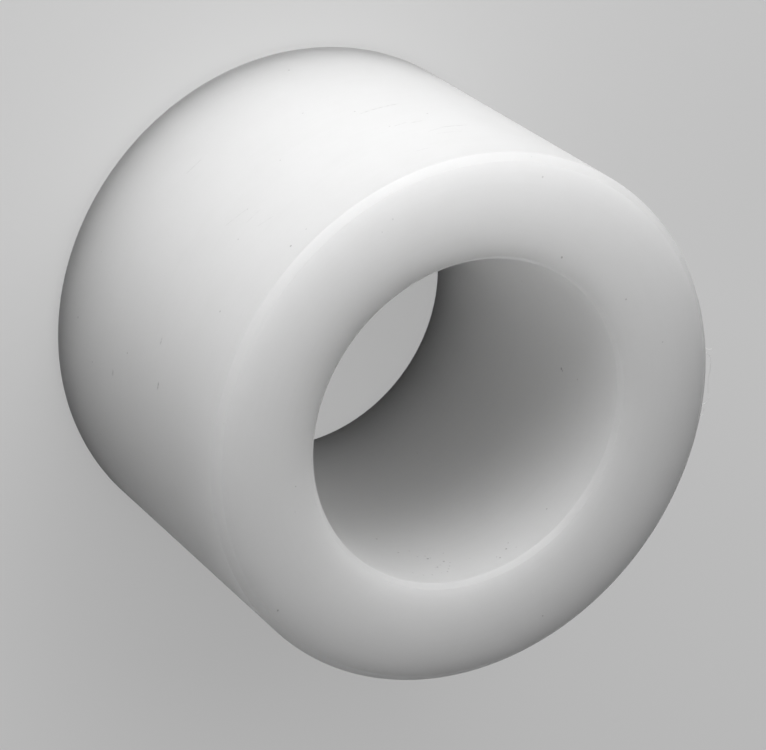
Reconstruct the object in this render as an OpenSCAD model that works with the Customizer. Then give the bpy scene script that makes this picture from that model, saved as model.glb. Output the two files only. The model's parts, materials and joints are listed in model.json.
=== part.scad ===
// Plain spacer: a thick-walled sleeve turned in one piece from white plastic bar.
// It has a straight through bore and a small 45 degree chamfer on each of its four edges.
// It stands on one end face, with the bore's axis along Z and the origin at the centre of that face.

/* [Sleeve] */
// Outside diameter
outer_d = 41.275; // [30:0.025:80]
// Diameter of the through bore
bore_d = 25.4; // [6:0.1:36]
// Length from one end face to the other
length = 28.575; // [6:0.025:120]

/* [Edges] */
// Chamfer on the outside edge of each end, along either leg
outer_chamfer = 0.55; // [0.1:0.05:2]
// Chamfer on the bore's edge at each end, along either leg
bore_chamfer = 0.4; // [0.1:0.05:2]

/* [Hidden] */
outer_r = outer_d / 2;
bore_r = bore_d / 2;
$fn = 180;

// Section through one wall: radius along X, height along Y, anticlockwise from the foot of the bore
module wall_section() {
    polygon([
        [bore_r, bore_chamfer],
        [bore_r + bore_chamfer, 0],
        [outer_r - outer_chamfer, 0],
        [outer_r, outer_chamfer],
        [outer_r, length - outer_chamfer],
        [outer_r - outer_chamfer, length],
        [bore_r + bore_chamfer, length],
        [bore_r, length - bore_chamfer],
    ]);
}

// The whole part: the wall's section turned about the bore's axis
module spacer() {
    color("white")
        rotate_extrude()
            wall_section();
}

spacer();
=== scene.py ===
# White plastic spacer: one thick-walled sleeve, turned from bar, standing on its end.
# Sizes are in metres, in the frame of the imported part: axis along Z, lower end face at Z = 0.
import json
import math

import bpy
from mathutils import Matrix, Vector


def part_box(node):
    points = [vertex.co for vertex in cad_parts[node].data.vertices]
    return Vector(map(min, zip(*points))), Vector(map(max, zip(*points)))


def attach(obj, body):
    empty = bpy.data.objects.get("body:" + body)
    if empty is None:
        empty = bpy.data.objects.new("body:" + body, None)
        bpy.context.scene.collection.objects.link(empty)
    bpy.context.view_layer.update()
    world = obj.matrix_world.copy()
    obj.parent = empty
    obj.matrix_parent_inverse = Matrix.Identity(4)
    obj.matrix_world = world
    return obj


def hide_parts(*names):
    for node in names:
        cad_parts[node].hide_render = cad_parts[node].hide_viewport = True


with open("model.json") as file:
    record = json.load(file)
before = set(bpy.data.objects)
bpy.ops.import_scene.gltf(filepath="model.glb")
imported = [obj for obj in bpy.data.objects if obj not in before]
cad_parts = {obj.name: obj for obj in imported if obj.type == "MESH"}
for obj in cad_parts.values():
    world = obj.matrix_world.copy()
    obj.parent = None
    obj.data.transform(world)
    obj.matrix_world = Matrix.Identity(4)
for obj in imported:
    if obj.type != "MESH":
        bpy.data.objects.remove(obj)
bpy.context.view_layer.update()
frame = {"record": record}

# Sleeve
# The real piece is a length of white polyethylene bar, drilled, bored and faced on a lathe.
# The tool leaves a satin skin with a fine lay around the axis, and breaks each edge with a 45 degree chamfer.
# The edges of the bore are broken by hand, so their chamfer is narrower at one side.
MM = 0.001
sleeve_low, sleeve_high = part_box("spacer")
bore_mount = next(mount for mount in frame["record"]["mounts"] if mount["kind"] == "bore")
sleeve_length = sleeve_high[2] - sleeve_low[2]
outer_radius = sleeve_high[0]
bore_radius = bore_mount["dims"]["r_mm"] * MM
bore_chamfer = (sleeve_length - bore_mount["dims"]["length_mm"] * MM) / 2
outer_chamfer = 0.55 * MM
edge_rounding = 0.08 * MM
rounding_steps = 3
segments_around = 320
deburr_uneven_share = 0.4
deburr_widest_turn = math.radians(70.0)


class Wire:
    """One output of a node, so that node maths can be written as plain arithmetic."""

    def __init__(self, socket):
        self.socket = socket

    @classmethod
    def node(cls, tree, kind, settings=None, sockets=None, out=0):
        """Add a node of any kind: its settings first, then its sockets' values or links."""
        made = tree.nodes.new(kind)
        for name, value in (settings or {}).items():
            setattr(made, name, value)
        for name, value in (sockets or {}).items():
            if isinstance(value, cls):
                tree.links.new(value.socket, made.inputs[name])
            else:
                made.inputs[name].default_value = value
        return cls(made.outputs[out]) if made.outputs else made

    def output(self, name):
        """Another output of the same node."""
        return Wire(self.socket.node.outputs[name])

    def math(self, operation, first, second=0.0):
        """A maths node in the same tree."""
        tree = self.socket.id_data
        return Wire.node(tree, "ShaderNodeMath", {"operation": operation}, {0: first, 1: second})

    def __add__(self, other):
        return self.math("ADD", self, other)

    def __radd__(self, other):
        return self.math("ADD", other, self)

    def __sub__(self, other):
        return self.math("SUBTRACT", self, other)

    def __rsub__(self, other):
        return self.math("SUBTRACT", other, self)

    def __mul__(self, other):
        return self.math("MULTIPLY", self, other)

    def __rmul__(self, other):
        return self.math("MULTIPLY", other, self)

    def __truediv__(self, other):
        return self.math("DIVIDE", self, other)

    def __pow__(self, other):
        return self.math("POWER", self, other)

    def __gt__(self, other):
        return self.math("GREATER_THAN", self, other)

    def __abs__(self):
        return self.math("ABSOLUTE", self)

    def or_more(self, other):
        """The larger of two values, which joins two masks."""
        return self.math("MAXIMUM", self, other)

    def fade(self, start, end):
        """A mask that goes softly from 0 at start to 1 at end, whichever of the two is larger."""
        return Wire.node(
            self.socket.id_data,
            "ShaderNodeMapRange",
            {"interpolation_type": "SMOOTHSTEP"},
            {"Value": self, "From Min": start, "From Max": end},
        )

    def blend(self, first, second):
        """A colour that goes from the first to the second as this mask goes from 0 to 1."""
        mask_in, first_in, second_in, color_out = 0, 6, 7, 2
        return Wire.node(
            self.socket.id_data,
            "ShaderNodeMix",
            {"data_type": "RGBA"},
            {mask_in: self, first_in: first, second_in: second},
            color_out,
        )


def empty_material(name):
    """A new material without the nodes that it would start with."""
    material = bpy.data.materials.new(name)
    material.use_nodes = True
    material.node_tree.nodes.clear()
    return material


def on_sleeve(turn_deg, radius_mm, height_mm):
    """A point from its turn about the axis, its distance from the axis and its height."""
    turn = math.radians(turn_deg)
    return Vector((math.cos(turn) * radius_mm, math.sin(turn) * radius_mm, height_mm)) * MM


def distance_from(tree, place, turn_deg, radius_mm, height_mm):
    """How far a place on the surface is from a point of the sleeve."""
    point = on_sleeve(turn_deg, radius_mm, height_mm)
    return Wire.node(tree, "ShaderNodeVectorMath", {"operation": "DISTANCE"}, {0: place, 1: point}, "Value")


def round_speck(away, radius):
    """The mask of a round speck: full in its core, and gone at its radius."""
    core_share = 0.4
    return away.fade(radius, core_share * radius)


def turning_lay(tree, place):
    """Fine uneven grooves that run around the axis: long one way, narrow the other."""
    groove_length = 18.0 * MM
    groove_width = 0.35 * MM
    closer_on_side = 1.3
    x = Wire.node(tree, "ShaderNodeSeparateXYZ", None, {"Vector": place}, "X")
    y = x.output("Y")
    from_axis = (x * x + y * y) ** 0.5
    feed = from_axis + x.output("Z") * closer_on_side
    stretched = Wire.node(
        tree,
        "ShaderNodeCombineXYZ",
        None,
        {"X": x / groove_length, "Y": y / groove_length, "Z": feed / groove_width},
    )
    return Wire.node(tree, "ShaderNodeTexNoise", None, {"Vector": stretched, "Scale": 1.0, "Detail": 2.0})


def placed_specks(tree, place):
    """The specks that can be told apart: turn, distance from the axis, height, radius and darkness."""
    side = outer_radius / MM
    bore = bore_radius / MM
    top = sleeve_length / MM
    mask = None
    for turn_deg, radius_mm, height_mm, speck_mm, darkness in (
        (-97.0, side, 26.5, 0.12, 1.0),
        (-101.5, side, 26.4, 0.09, 0.5),
        (-92.0, side, 20.7, 0.09, 0.6),
        (-98.0, side, 19.0, 0.08, 0.5),
        (-110.3, side, 16.9, 0.09, 0.5),
        (-130.6, side, 4.4, 0.12, 0.8),
        (-130.5, side, 15.3, 0.10, 0.6),
        (-132.2, side, 19.6, 0.09, 0.5),
        (-142.7, side, 18.4, 0.10, 0.7),
        (-78.4, side, 23.8, 0.10, 0.7),
        (-58.4, side, 13.0, 0.10, 0.7),
        (-57.3, side, 4.0, 0.11, 0.7),
        (-170.0, 13.9, top, 0.12, 1.0),
        (-155.0, 19.1, top, 0.10, 0.6),
        (-117.0, 18.3, top, 0.09, 0.4),
        (162.0, 15.0, top, 0.10, 0.7),
        (144.0, 16.7, top, 0.09, 0.5),
        (63.0, 18.3, top, 0.10, 0.6),
        (-11.8, 19.5, top, 0.11, 0.9),
        (126.9, bore, 20.2, 0.15, 1.0),
        (126.5, bore, 20.4, 0.10, 0.8),
        (127.0, bore, 22.6, 0.09, 0.6),
        (82.6, bore, 25.9, 0.10, 0.6),
        (64.7, bore, 26.0, 0.09, 0.5),
        (62.5, bore, 26.5, 0.11, 0.9),
        (58.4, bore, 27.1, 0.11, 0.7),
        (65.3, bore, 27.0, 0.08, 0.4),
        (57.8, bore, 26.8, 0.08, 0.5),
        (43.6, bore, 25.2, 0.08, 0.5),
        (42.2, bore, 24.8, 0.12, 0.8),
        (42.2, bore, 25.7, 0.09, 0.6),
        (40.8, bore, 26.1, 0.09, 0.6),
        (39.4, bore, 26.5, 0.09, 0.6),
        (38.2, bore, 23.9, 0.14, 0.9),
        (38.4, bore, 23.4, 0.09, 0.5),
        (38.0, bore, 25.5, 0.11, 0.9),
        (35.2, bore, 22.2, 0.09, 0.5),
        (33.0, bore, 26.7, 0.10, 0.6),
        (29.6, bore, 26.7, 0.09, 0.5),
        (26.4, bore, 26.3, 0.09, 0.5),
        (30.4, bore, 22.4, 0.11, 0.7),
        (28.4, bore, 19.7, 0.12, 0.8),
    ):
        away = distance_from(tree, place, turn_deg, radius_mm, height_mm)
        speck = round_speck(away, speck_mm * MM) * darkness
        mask = speck if mask is None else mask.or_more(speck)
    return mask


def strewn_specks(tree, place, spacing, radius, share):
    """Specks strewn at random: the spacing between them, their radius, and the share of them that shows."""
    cell = Wire.node(
        tree, "ShaderNodeTexVoronoi", None, {"Vector": place, "Scale": 1.0 / spacing}, "Distance"
    )
    chance = Wire.node(tree, "ShaderNodeSeparateColor", None, {"Color": cell.output("Color")}, "Red")
    return round_speck(cell, radius / spacing) * chance.fade(1.0 - share, 1.0)


def bore_dust(tree, place):
    """A patch of finer specks in the bore, just inside the upper end."""
    patch_turn_deg = 40.0
    patch_height_mm = 24.9
    patch_radius = 3.2 * MM
    patch_core = 1.8 * MM
    grain_spacing = 0.45 * MM
    grain_radius = 0.08 * MM
    grain_share = 0.8
    away = distance_from(tree, place, patch_turn_deg, bore_radius / MM, patch_height_mm)
    grains = strewn_specks(tree, place, grain_spacing, grain_radius, grain_share)
    return grains * away.fade(patch_radius, patch_core)


def side_rubs(tree, place):
    """Faint rubs around the side: turn and height at each of their ends, and how strongly each one shows."""
    rub_reach = 0.10 * MM
    rub_core = 0.3 * rub_reach
    soft_end = math.radians(0.8)
    gap_size = 0.35 * MM
    gap_below = 0.36
    whole_above = 0.6
    left_in_gaps = 0.3
    x = Wire.node(tree, "ShaderNodeSeparateXYZ", None, {"Vector": place}, "X")
    y = x.output("Y")
    height = x.output("Z")
    turn = x.math("ARCTAN2", y, x)
    patchy = Wire.node(tree, "ShaderNodeTexNoise", None, {"Vector": place, "Scale": 1.0 / gap_size})
    mask = None
    for first_deg, first_mm, last_deg, last_mm, strength in (
        (-140.4, 15.6, -130.4, 16.0, 0.9),
        (-139.8, 19.8, -136.2, 19.9, 0.9),
        (-136.4, 19.6, -132.6, 19.8, 0.8),
        (-147.4, 21.5, -140.6, 21.7, 0.8),
        (-141.4, 21.7, -136.8, 22.2, 0.4),
        (-144.2, 22.9, -137.8, 22.8, 0.4),
        (-133.6, 25.1, -129.8, 25.0, 0.5),
        (-98.4, 19.0, -92.4, 18.2, 0.35),
        (-99.6, 20.3, -95.2, 20.1, 0.35),
        (-100.2, 22.2, -96.0, 21.5, 0.3),
        (-101.4, 9.5, -96.4, 9.4, 0.5),
        (-66.9, 17.7, -64.7, 17.7, 1.6),
        (-58.2, 18.6, -56.0, 18.6, 2.4),
        (-53.0, 10.9, -50.9, 10.9, 1.8),
    ):
        first = math.radians(first_deg)
        last = math.radians(last_deg)
        slope = (last_mm - first_mm) * MM / (last - first)
        off_line = abs(height - (turn * slope + (first_mm * MM - first * slope)))
        ends = turn.fade(first, first + soft_end) * turn.fade(last, last - soft_end)
        rub = off_line.fade(rub_reach, rub_core) * ends * strength
        mask = rub if mask is None else mask.or_more(rub)
    broken = patchy.fade(gap_below, whole_above) * (1.0 - left_in_gaps) + left_in_gaps
    outside = (x * x + y * y) > (outer_radius - outer_chamfer / 2) ** 2
    return mask * broken * outside


def white_plastic():
    """Satin white polyethylene: light travels far through it, so its shading is soft."""
    white = (0.95, 0.95, 0.942, 1.0)
    clouded = (0.932, 0.932, 0.92, 1.0)
    dirt = (0.22, 0.21, 0.20, 1.0)
    cloud_size = 5.0 * MM
    lay_in_cloud = 0.3
    clear_below = 0.35
    clouded_above = 0.7
    strewn_spacing = 2.2 * MM
    strewn_radius = 0.09 * MM
    strewn_share = 0.5
    placed_strength = 0.45
    dust_strength = 0.3
    strewn_strength = 0.3
    rub_strength = 0.2
    lay_depth = 2.5e-6
    least_roughness = 0.47
    lay_roughness = 0.12
    rub_roughness = 0.1
    light_travel = 30.0 * MM
    material = empty_material("white_turned_plastic")
    tree = material.node_tree
    place = Wire.node(tree, "ShaderNodeTexCoord", out="Object")
    lay = turning_lay(tree, place)
    cloud = Wire.node(tree, "ShaderNodeTexNoise", None, {"Vector": place, "Scale": 1.0 / cloud_size})
    clouding = (cloud * (1.0 - lay_in_cloud) + lay * lay_in_cloud).fade(clear_below, clouded_above)
    bare = clouding.blend(white, clouded)
    rubs = side_rubs(tree, place)
    strewn = strewn_specks(tree, place, strewn_spacing, strewn_radius, strewn_share)
    marks = placed_specks(tree, place) * placed_strength
    marks = marks.or_more(bore_dust(tree, place) * dust_strength)
    marks = marks.or_more(strewn * strewn_strength)
    marks = marks.or_more(rubs * rub_strength)
    color = marks.blend(bare, dirt)
    relief = Wire.node(tree, "ShaderNodeBump", None, {"Strength": 1.0, "Distance": lay_depth, "Height": lay})
    shader = Wire.node(
        tree,
        "ShaderNodeBsdfPrincipled",
        {"subsurface_method": "RANDOM_WALK"},
        {
            "Base Color": color,
            "Roughness": least_roughness + lay * lay_roughness + rubs * rub_roughness,
            "IOR": 1.5,
            "Specular IOR Level": 0.4,
            "Subsurface Weight": 1.0,
            "Subsurface Radius": (1.0, 1.0, 1.0),
            "Subsurface Scale": light_travel,
            "Normal": relief,
        },
    )
    Wire.node(tree, "ShaderNodeOutputMaterial", None, {"Surface": shader})
    return material


def turned_sleeve_tree():
    """Revolve the wall's section, a chamfered and rounded rectangle, and narrow the bore's chamfer."""
    tree = bpy.data.node_groups.new("turned_sleeve", "GeometryNodeTree")
    for name, kind in (
        ("Outer Radius", "NodeSocketFloat"),
        ("Bore Radius", "NodeSocketFloat"),
        ("Length", "NodeSocketFloat"),
        ("Outer Chamfer", "NodeSocketFloat"),
        ("Bore Chamfer", "NodeSocketFloat"),
        ("Edge Rounding", "NodeSocketFloat"),
        ("Rounding Steps", "NodeSocketInt"),
        ("Segments Around", "NodeSocketInt"),
        ("Uneven Share", "NodeSocketFloat"),
        ("Widest Turn", "NodeSocketFloat"),
        ("Plastic", "NodeSocketMaterial"),
    ):
        tree.interface.new_socket(name, in_out="INPUT", socket_type=kind)
    tree.interface.new_socket("Sleeve", in_out="OUTPUT", socket_type="NodeSocketGeometry")
    size = Wire.node(tree, "NodeGroupInput")
    outer = size.output("Outer Radius")
    bore = size.output("Bore Radius")
    length = size.output("Length")
    rectangle = Wire.node(
        tree,
        "GeometryNodeCurvePrimitiveQuadrilateral",
        {"mode": "RECTANGLE"},
        {"Width": outer - bore, "Height": length},
    )
    across = Wire.node(tree, "GeometryNodeInputPosition")
    across = Wire.node(tree, "ShaderNodeSeparateXYZ", None, {"Vector": across}, "X")
    on_outside = across > 0.0
    chamfer = on_outside * size.output("Outer Chamfer") + (1.0 - on_outside) * size.output("Bore Chamfer")
    chamfered = Wire.node(
        tree, "GeometryNodeFilletCurve", {"mode": "POLY"}, {"Curve": rectangle, "Count": 1, "Radius": chamfer}
    )
    section = Wire.node(
        tree,
        "GeometryNodeFilletCurve",
        {"mode": "POLY"},
        {"Curve": chamfered, "Count": size.output("Rounding Steps"), "Radius": size.output("Edge Rounding")},
    )
    middle_of_wall = (outer + bore) / 2.0
    turn = Wire.node(
        tree,
        "GeometryNodeCurvePrimitiveCircle",
        {"mode": "RADIUS"},
        {"Resolution": size.output("Segments Around"), "Radius": middle_of_wall},
    )
    turned = Wire.node(tree, "GeometryNodeCurveToMesh", None, {"Curve": turn, "Profile Curve": section})
    lift = Wire.node(tree, "ShaderNodeCombineXYZ", None, {"Z": length / 2.0})
    standing = Wire.node(tree, "GeometryNodeTransform", None, {"Geometry": turned, "Translation": lift})
    place = Wire.node(tree, "GeometryNodeInputPosition")
    x = Wire.node(tree, "ShaderNodeSeparateXYZ", None, {"Vector": place}, "X")
    y = x.output("Y")
    above_middle = x.output("Z") - length / 2.0
    from_axis = (x * x + y * y) ** 0.5
    into_wall = from_axis - bore
    from_end = length / 2.0 - abs(above_middle)
    reach = size.output("Bore Chamfer") + size.output("Edge Rounding")
    on_bore_edge = (reach > into_wall) * (reach > from_end)
    turn_from_widest = x.math("ARCTAN2", y, x) - size.output("Widest Turn")
    narrowing = (0.5 - x.math("COSINE", turn_from_widest) * 0.5) * size.output("Uneven Share")
    inward = into_wall * narrowing / from_axis
    toward_end = x.math("SIGN", above_middle) * from_end * narrowing
    shift = Wire.node(
        tree,
        "ShaderNodeCombineXYZ",
        None,
        {"X": 0.0 - x * inward, "Y": 0.0 - y * inward, "Z": toward_end},
    )
    deburred = Wire.node(
        tree,
        "GeometryNodeSetPosition",
        None,
        {"Geometry": standing, "Selection": on_bore_edge, "Offset": shift},
    )
    smooth = Wire.node(tree, "GeometryNodeSetShadeSmooth", None, {"Geometry": deburred})
    real = Wire.node(tree, "GeometryNodeRealizeInstances", None, {"Geometry": smooth})
    finished = Wire.node(
        tree, "GeometryNodeSetMaterial", None, {"Geometry": real, "Material": size.output("Plastic")}
    )
    Wire.node(tree, "NodeGroupOutput", None, {"Sleeve": finished})
    return tree


def made_by_nodes(piece, tree, sizes):
    """Give a piece's node tree its sizes, and turn what the tree makes into a plain mesh."""
    maker = piece.modifiers.new("maker", "NODES")
    maker.node_group = tree
    for item in tree.interface.items_tree:
        if item.in_out == "INPUT" and item.name in sizes:
            maker[item.identifier] = sizes[item.name]
    flat_faces_stay_flat = piece.modifiers.new("normals", "WEIGHTED_NORMAL")
    flat_faces_stay_flat.weight = 100
    evaluated = piece.evaluated_get(bpy.context.evaluated_depsgraph_get())
    mesh = bpy.data.meshes.new_from_object(evaluated)
    piece.modifiers.clear()
    piece.data = mesh


sleeve = bpy.data.objects.new("sleeve", bpy.data.meshes.new("sleeve_blank"))
bpy.context.scene.collection.objects.link(sleeve)
made_by_nodes(
    sleeve,
    turned_sleeve_tree(),
    {
        "Outer Radius": outer_radius,
        "Bore Radius": bore_radius,
        "Length": sleeve_length,
        "Outer Chamfer": outer_chamfer,
        "Bore Chamfer": bore_chamfer,
        "Edge Rounding": edge_rounding,
        "Rounding Steps": rounding_steps,
        "Segments Around": segments_around,
        "Uneven Share": deburr_uneven_share,
        "Widest Turn": deburr_widest_turn,
        "Plastic": white_plastic(),
    },
)
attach(sleeve, "root")
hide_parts("spacer")

# Swarf whiskers
# Hairs of the same plastic that the tool pulled out of the upper rim, each less than 0.1 mm thick.
# They are rooted in the rim's edge, and curl along just outside it.
# A run is a thickness, then each point's turn, its stand-off from the side and its lift above the edge.
whisker_points = 28
whisker_sides = 8
whisker_thinning = 0.5
whisker_runs = (
    (0.070, ((137.4, -0.15, 0.00), (137.2, 0.10, 0.00), (137.0, 0.30, 0.03), (136.9, 0.55, 0.00))),
    (
        0.040,
        (
            (136.6, -0.15, 0.00),
            (136.2, 0.16, 0.00),
            (134.9, 0.46, 0.05),
            (133.8, 0.34, 0.08),
            (132.7, 0.42, 0.02),
            (130.9, 0.34, -0.05),
            (129.0, 0.31, -0.02),
            (127.2, 0.40, 0.03),
        ),
    ),
    (0.070, ((124.6, -0.15, 0.00), (125.0, 0.26, 0.00), (126.1, 0.52, 0.04))),
    (0.045, ((124.3, -0.15, 0.00), (124.0, 0.20, 0.04), (123.2, 0.18, 0.05))),
    (0.045, ((121.9, -0.15, 0.00), (122.2, 0.08, 0.02), (122.6, 0.22, 0.04))),
)


def whisker_plastic():
    """The same white plastic, drawn so thin that no light is lost in it."""
    white = (0.93, 0.93, 0.92, 1.0)
    stretched = (0.87, 0.87, 0.86, 1.0)
    stretch_size = 0.3 * MM
    least_roughness = 0.3
    stretch_roughness = 0.2
    material = empty_material("white_swarf")
    tree = material.node_tree
    place = Wire.node(tree, "ShaderNodeTexCoord", out="Object")
    stretch = Wire.node(tree, "ShaderNodeTexNoise", None, {"Vector": place, "Scale": 1.0 / stretch_size})
    color = stretch.blend(white, stretched)
    roughness = least_roughness + stretch * stretch_roughness
    shader = Wire.node(
        tree, "ShaderNodeBsdfPrincipled", None, {"Base Color": color, "Roughness": roughness, "IOR": 1.5}
    )
    Wire.node(tree, "ShaderNodeOutputMaterial", None, {"Surface": shader})
    return material


def whisker_tree():
    """Draw each run of points out into a round hair that thins towards its end."""
    unit_hair_radius = 0.5
    tree = bpy.data.node_groups.new("whiskers", "GeometryNodeTree")
    for name, kind in (
        ("Runs", "NodeSocketGeometry"),
        ("Points Along", "NodeSocketInt"),
        ("Sides", "NodeSocketInt"),
        ("Thinning", "NodeSocketFloat"),
        ("Plastic", "NodeSocketMaterial"),
    ):
        tree.interface.new_socket(name, in_out="INPUT", socket_type=kind)
    tree.interface.new_socket("Whiskers", in_out="OUTPUT", socket_type="NodeSocketGeometry")
    size = Wire.node(tree, "NodeGroupInput")
    runs = Wire.node(tree, "GeometryNodeMeshToCurve", None, {"Mesh": size.output("Runs")})
    curled = Wire.node(tree, "GeometryNodeCurveSplineType", {"spline_type": "CATMULL_ROM"}, {"Curve": runs})
    even = Wire.node(
        tree,
        "GeometryNodeResampleCurve",
        {"mode": "COUNT"},
        {"Curve": curled, "Count": size.output("Points Along")},
    )
    along = Wire.node(tree, "GeometryNodeSplineParameter", out="Factor")
    thickness = Wire.node(
        tree, "GeometryNodeInputNamedAttribute", {"data_type": "FLOAT"}, {"Name": "thickness"}, "Attribute"
    )
    hair = Wire.node(
        tree,
        "GeometryNodeCurvePrimitiveCircle",
        {"mode": "RADIUS"},
        {"Resolution": size.output("Sides"), "Radius": unit_hair_radius},
    )
    drawn = Wire.node(
        tree,
        "GeometryNodeCurveToMesh",
        None,
        {
            "Curve": even,
            "Profile Curve": hair,
            "Scale": thickness * (1.0 - along * size.output("Thinning")),
            "Fill Caps": True,
        },
    )
    smooth = Wire.node(tree, "GeometryNodeSetShadeSmooth", None, {"Geometry": drawn})
    real = Wire.node(tree, "GeometryNodeRealizeInstances", None, {"Geometry": smooth})
    finished = Wire.node(
        tree, "GeometryNodeSetMaterial", None, {"Geometry": real, "Material": size.output("Plastic")}
    )
    Wire.node(tree, "NodeGroupOutput", None, {"Whiskers": finished})
    return tree


rim_height_mm = (sleeve_length - outer_chamfer) / MM
run_points = []
run_edges = []
run_thicknesses = []
for thickness_mm, run in whisker_runs:
    for step, (turn_deg, stand_off_mm, lift_mm) in enumerate(run):
        if step > 0:
            run_edges.append((len(run_points) - 1, len(run_points)))
        run_points.append(on_sleeve(turn_deg, outer_radius / MM + stand_off_mm, rim_height_mm + lift_mm))
        run_thicknesses.append(thickness_mm * MM)
run_mesh = bpy.data.meshes.new("whisker_runs")
run_mesh.from_pydata(run_points, run_edges, [])
run_mesh.attributes.new("thickness", "FLOAT", "POINT").data.foreach_set("value", run_thicknesses)
whiskers = bpy.data.objects.new("whiskers", run_mesh)
bpy.context.scene.collection.objects.link(whiskers)
made_by_nodes(
    whiskers,
    whisker_tree(),
    {
        "Points Along": whisker_points,
        "Sides": whisker_sides,
        "Thinning": whisker_thinning,
        "Plastic": whisker_plastic(),
    },
)
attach(whiskers, "root")

# Floor
# A plain pale sheet under the part, wide enough to fill the picture from every side.
# Its glow is for the camera and for mirror images only, so that it lightens the sheet and not the part.
floor_half = 2.0
floor_drop = 0.02 * MM
sheet_grey = 0.30
sheet_glow_grey = 0.36


def grey(level):
    """A neutral colour."""
    return (level, level, level, 1.0)


def in_sight(tree):
    """1 for a ray that the camera or a shine sends out, and 0 for one that gathers light."""
    ray = Wire.node(tree, "ShaderNodeLightPath", out="Is Camera Ray")
    return ray + ray.output("Is Glossy Ray") + ray.output("Is Transmission Ray")


floor_mesh = bpy.data.meshes.new("floor")
floor_mesh.from_pydata(
    [
        (-floor_half, -floor_half, -floor_drop),
        (floor_half, -floor_half, -floor_drop),
        (floor_half, floor_half, -floor_drop),
        (-floor_half, floor_half, -floor_drop),
    ],
    [],
    [(0, 1, 2, 3)],
)
floor = bpy.data.objects.new("floor", floor_mesh)
bpy.context.scene.collection.objects.link(floor)
pale_sheet = empty_material("pale_sheet")
sheet_tree = pale_sheet.node_tree
sheet_lit = Wire.node(sheet_tree, "ShaderNodeBsdfDiffuse", None, {"Color": grey(sheet_grey)})
sheet_glow = Wire.node(
    sheet_tree, "ShaderNodeEmission", None, {"Color": grey(sheet_glow_grey), "Strength": in_sight(sheet_tree)}
)
sheet = Wire.node(sheet_tree, "ShaderNodeAddShader", None, {0: sheet_lit, 1: sheet_glow})
Wire.node(sheet_tree, "ShaderNodeOutputMaterial", None, {"Surface": sheet})
floor_mesh.materials.append(pale_sheet)

# Light
# A wide softbox that stands low at the part's left, a smaller and weaker one above it, and a faint even fill.
# The camera and mirror images see a pale backdrop in place of the fill.
softbox_distance = 0.40
fill_grey = 0.105
backdrop_grey = 0.55
for softbox_name, turn_deg, rise_deg, softbox_width, softbox_height, softbox_power in (
    ("wide_softbox", -125.0, 15.0, 0.50, 0.22, 1.74),
    ("small_softbox", -160.0, 48.0, 0.32, 0.32, 0.55),
):
    softbox_data = bpy.data.lights.new(softbox_name, "AREA")
    softbox_data.shape = "RECTANGLE"
    softbox_data.size = softbox_width
    softbox_data.size_y = softbox_height
    softbox_data.energy = softbox_power
    softbox = bpy.data.objects.new(softbox_name, softbox_data)
    rise = math.radians(rise_deg)
    turn = math.radians(turn_deg)
    level = math.cos(rise)
    toward_softbox = Vector((level * math.cos(turn), level * math.sin(turn), math.sin(rise)))
    softbox.location = toward_softbox * softbox_distance + Vector((0.0, 0.0, sleeve_length / 2))
    softbox.rotation_euler = toward_softbox.to_track_quat("Z", "Y").to_euler()
    softbox.visible_camera = False
    bpy.context.scene.collection.objects.link(softbox)
studio = bpy.data.worlds.new("studio")
bpy.context.scene.world = studio
studio.use_nodes = True
studio_tree = studio.node_tree
studio_tree.nodes.clear()
fill = Wire.node(studio_tree, "ShaderNodeBackground", None, {"Color": grey(fill_grey)})
backdrop = Wire.node(studio_tree, "ShaderNodeBackground", None, {"Color": grey(backdrop_grey)})
surroundings = Wire.node(
    studio_tree, "ShaderNodeMixShader", None, {0: in_sight(studio_tree), 1: fill, 2: backdrop}
)
Wire.node(studio_tree, "ShaderNodeOutputWorld", None, {"Surface": surroundings})
bpy.context.scene.view_settings.view_transform = "Standard"

# Camera
# It looks down on the upper face, rolled so that the part lies in the picture as it does in the photo.
image_width = 766
lens_in_pixels = 3557.2
camera_elevation = math.radians(54.4)
camera_roll = math.radians(126.6)
camera_distance = 259.4 * MM
aim_left = 6.38 * MM
aim_up = 3.63 * MM
toward_part = Vector((0.0, math.cos(camera_elevation), -math.sin(camera_elevation)))
level_right = Vector((1.0, 0.0, 0.0))
level_up = level_right.cross(toward_part)
picture_right = level_right * math.cos(camera_roll) + level_up * math.sin(camera_roll)
picture_up = picture_right.cross(toward_part)
aim = Vector((0.0, 0.0, sleeve_length)) - picture_right * aim_left + picture_up * aim_up
camera_data = bpy.data.cameras.new("camera")
camera_data.sensor_fit = "HORIZONTAL"
camera_data.lens = camera_data.sensor_width * lens_in_pixels / image_width
camera = bpy.data.objects.new("camera", camera_data)
turn_to_picture = Matrix((picture_right, picture_up, -toward_part)).transposed()
camera.matrix_world = Matrix.Translation(aim - toward_part * camera_distance) @ turn_to_picture.to_4x4()
bpy.context.scene.collection.objects.link(camera)
bpy.context.scene.camera = camera
